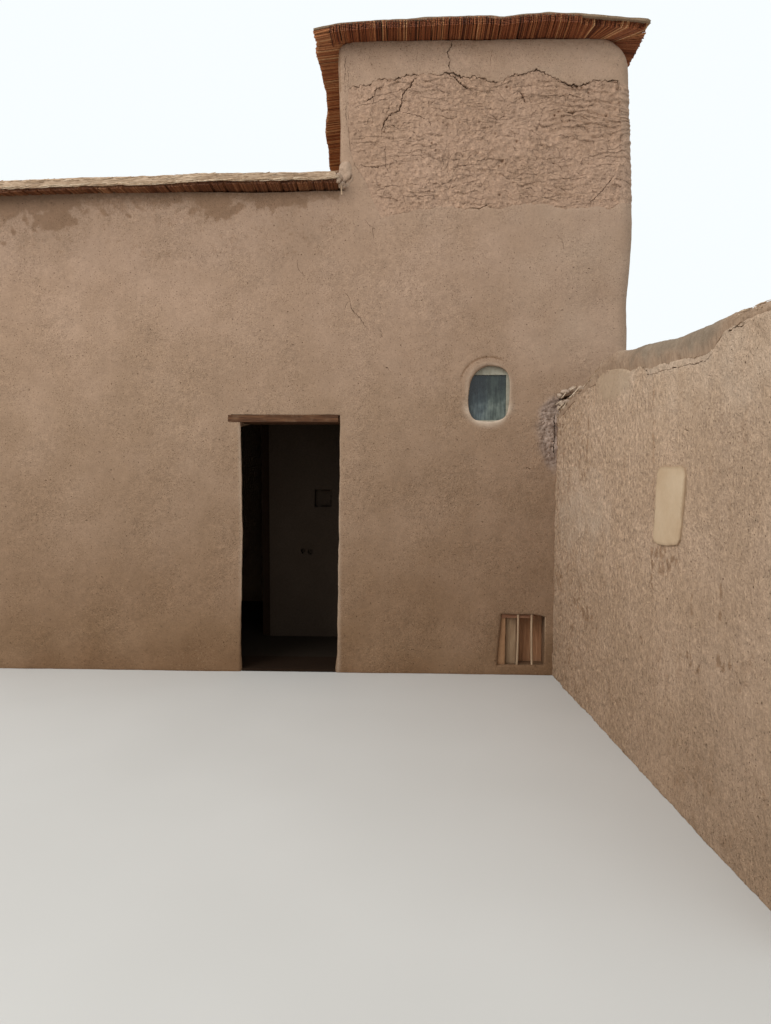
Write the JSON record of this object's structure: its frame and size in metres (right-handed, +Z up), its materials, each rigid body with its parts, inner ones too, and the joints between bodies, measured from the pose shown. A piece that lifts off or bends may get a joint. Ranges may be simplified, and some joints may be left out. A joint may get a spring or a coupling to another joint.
{
  "type": "adobe house front with tower block and yard wall",
  "caption": "Small hollow adobe house: low flat-roofed wing and higher tower block with reed eaves, open doorway, round-ended window, low barred recess and a bonded yard wall.",
  "frame": {"origin": "centre of the footprint's bounding rectangle, on the ground", "axes": "+Z up, +Y from the front into the house, +X along the front from the wing towards the tower"},
  "size_m": [5.4704, 6.6716, 4.83],
  "materials": {
    "mud_render": "hand-laid mud and straw render, matt, with fine straw flecks and cracks",
    "rough_mud": "older coarse mud render on back walls and inside walls, matt",
    "mud_roof": "beaten mud roof coat, pale and dusty, matt",
    "mud_floor": "beaten earth floor, matt",
    "reed": "weathered rust brown reeds",
    "pale_reed": "pale straw coloured reeds and mud rim",
    "timber": "reddish brown weathered timber",
    "frame_paint": "timber frame with dirty cream paint",
    "glass": "dusty translucent blue-grey window glass",
    "smooth_plaster": "smooth trowelled cream plaster"
  },
  "bodies": {
    "root": {"wing_front_wall": "mud_render", "wall_over_doorway": "mud_render", "door_lintel": "timber", "door_threshold": "mud_floor", "tower_front_wall_base": "mud_render", "tower_front_wall_middle": "mud_render", "tower_front_wall_upper": "mud_render", "tower_right_wall": "mud_render", "tower_back_wall": "mud_render", "tower_side_wall_front": "rough_mud", "tower_side_wall_rear": "rough_mud", "tower_side_wall_upper": "mud_render", "inner_door_lintel": "timber", "wing_back_wall": "mud_render", "wing_end_wall": "rough_mud", "screen_wall": "rough_mud", "screen_wall_post": "timber", "wing_floor": "mud_floor", "tower_floor": "mud_floor", "wing_roof_poles": "timber", "wing_reed_mat": "pale_reed", "wing_eave_front": "pale_reed", "wing_eave_back": "pale_reed", "wing_roof_mud": "mud_roof", "tower_roof_poles": "timber", "tower_reed_mat": "reed", "tower_eave_front": "reed", "tower_eave_right": "reed", "tower_eave_back": "reed", "tower_eave_left": "reed", "tower_roof_mud": "mud_roof", "window_frame": "frame_paint", "window_glass": "glass", "niche_lintel": "timber", "niche_back_board": "timber", "yard_wall": "mud_render", "yard_wall_cap": "mud_roof", "smooth_wall_panel": "smooth_plaster"}
  },
  "joints": []
}
